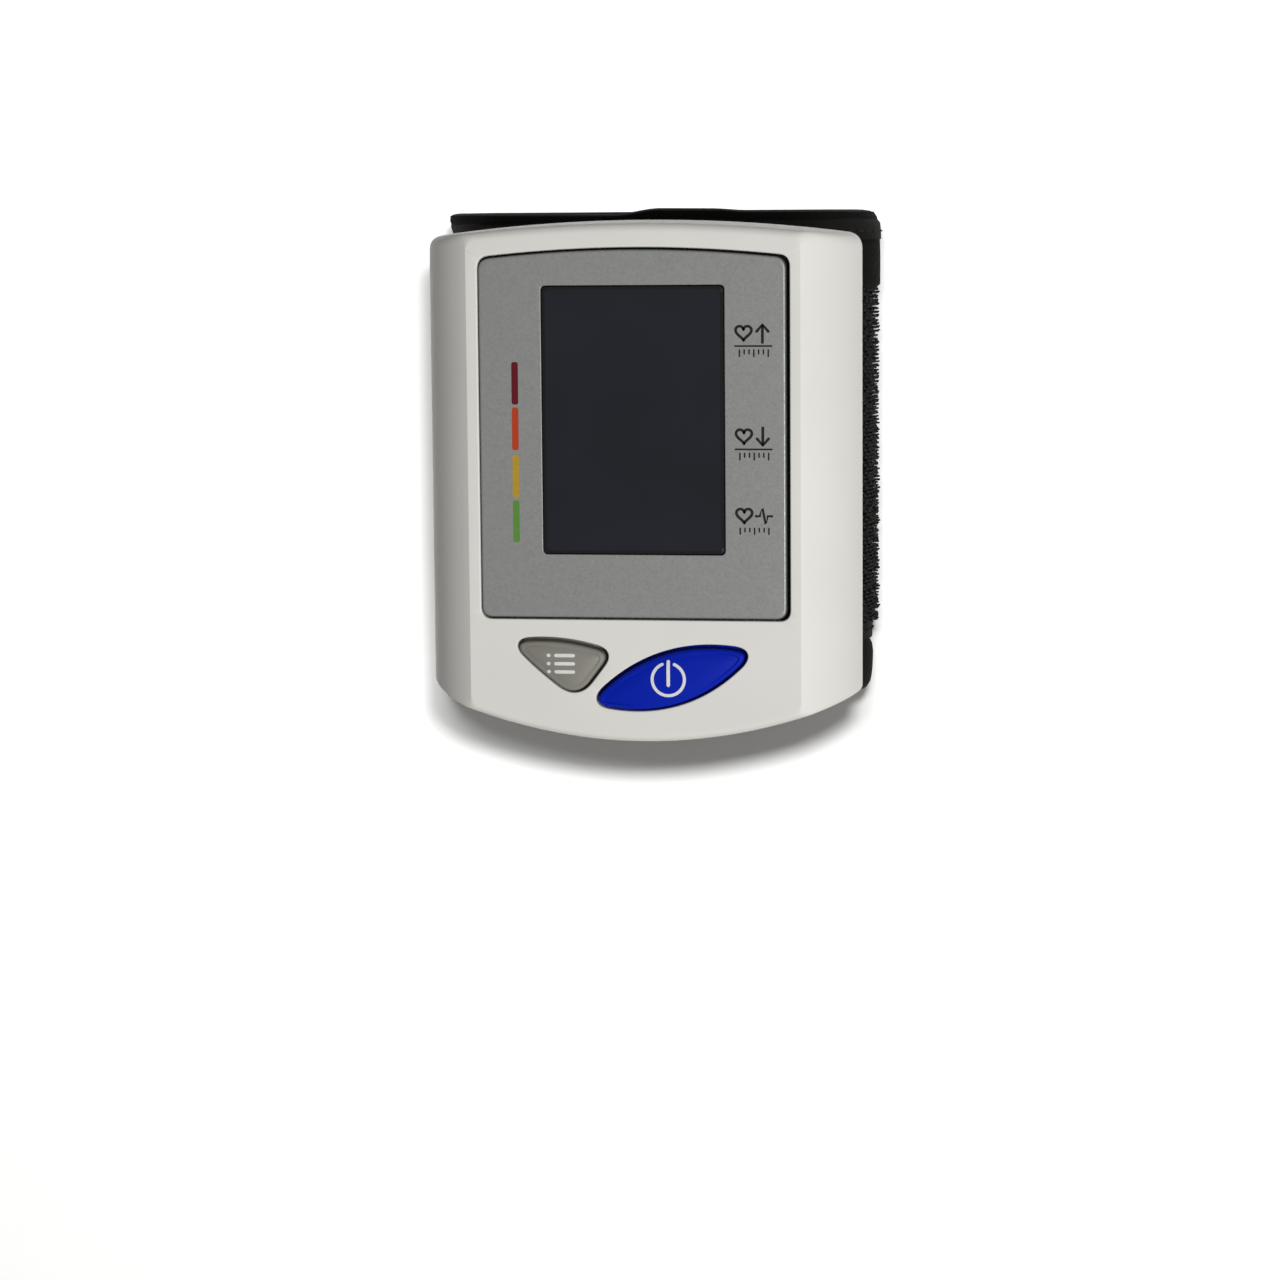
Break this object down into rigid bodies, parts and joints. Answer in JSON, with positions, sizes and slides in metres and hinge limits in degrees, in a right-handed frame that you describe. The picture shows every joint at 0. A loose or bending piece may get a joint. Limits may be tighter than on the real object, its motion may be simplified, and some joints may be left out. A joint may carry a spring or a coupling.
{
  "type": "wrist blood pressure monitor",
  "caption": "Small arched housing with a recessed display panel and two shaped push buttons, fixed on top of a wrap-around fabric cuff that closes with hook and loop.",
  "frame": {"origin": "on the flat of the closed cuff that the monitor rests on, below the middle of the housing in plan", "axes": "+X to the right of the display, +Y towards the display's top edge, +Z out of the display"},
  "size_m": [0.0777, 0.0832, 0.0815],
  "materials": {
    "white_housing": "fine satin texture, warm white ABS",
    "silver_panel": "silver-grey paint with a fine metallic fleck",
    "tinted_window": "gloss, smoke-tinted acrylic",
    "grey_button": "satin grey moulding",
    "blue_button": "satin blue moulding",
    "cuff_fabric": "black brushed nylon",
    "hook_fastener": "black woven tape with nylon hooks",
    "bladder_film": "welded film, matt",
    "former_plastic": "bare sheet",
    "lcd_glass": "polarised glass",
    "natural_plastic": "bare moulding",
    "circuit_board": "green solder mask",
    "black_resin": "moulded package",
    "switch_plunger": "bare moulding",
    "display_seal": "closed-cell foam",
    "steel": "zinc plated",
    "nickel": "nickel plate",
    "silicone": "translucent silicone",
    "cell_jacket": "printed film jacket, plain"
  },
  "bodies": {
    "monitor": {"upper_case": "white_housing", "lower_case": "white_housing", "face_panel": "silver_panel", "display_window": "tinted_window", "cuff_cover": "cuff_fabric", "cuff_lining": "cuff_fabric", "hook_tape": "hook_fastener", "air_bladder": "bladder_film", "cuff_former": "former_plastic", "lcd_glass": "lcd_glass", "lcd_frame": "natural_plastic", "air_manifold": "natural_plastic", "air_nozzle": "natural_plastic", "pump_head": "natural_plastic", "main_board": "circuit_board", "memory_switch": "black_resin", "power_switch": "black_resin", "processor_chip": "black_resin", "buzzer": "black_resin", "pressure_sensor": "black_resin", "lcd_seal": "display_seal", "case_screw_1": "steel", "case_screw_2": "steel", "case_screw_3": "steel", "case_screw_4": "steel", "pump_motor": "steel", "release_valve": "steel", "contact_positive": "nickel", "contact_negative": "nickel", "contact_bridge": "nickel", "spring_1": "nickel", "spring_2": "nickel", "quartz_crystal": "nickel", "pump_hose": "silicone", "sensor_hose": "silicone", "valve_hose": "silicone", "lcd_connector": "silicone", "battery_1": "cell_jacket", "battery_2": "cell_jacket"},
    "memory_key": {"memory_button": "grey_button", "memory_plunger": "switch_plunger"},
    "power_key": {"power_button": "blue_button", "power_plunger": "switch_plunger"},
    "cuff_flap": {"flap_cover": "cuff_fabric", "flap_lining": "cuff_fabric"},
    "door": {"battery_door": "white_housing"}
  },
  "joints": [
    {"name": "memory_press", "type": "slide", "parent": "monitor", "child": "memory_key", "axis": [0, 0, -1], "range_m": [0, 0.0008], "stiffness_N_per_m": 700},
    {"name": "power_press", "type": "slide", "parent": "monitor", "child": "power_key", "axis": [0, 0, -1], "range_m": [0, 0.0008], "stiffness_N_per_m": 700},
    {"name": "battery_door_pull", "type": "slide", "parent": "monitor", "child": "door", "axis": [-1, 0, 0], "range_m": [0, 0.04]},
    {"name": "cuff_flap_hinge", "type": "hinge", "parent": "monitor", "child": "cuff_flap", "pos_m": [0.01335, 0, 0.00229], "axis": [0, 1, 0], "range_deg": [0, 30]}
  ]
}
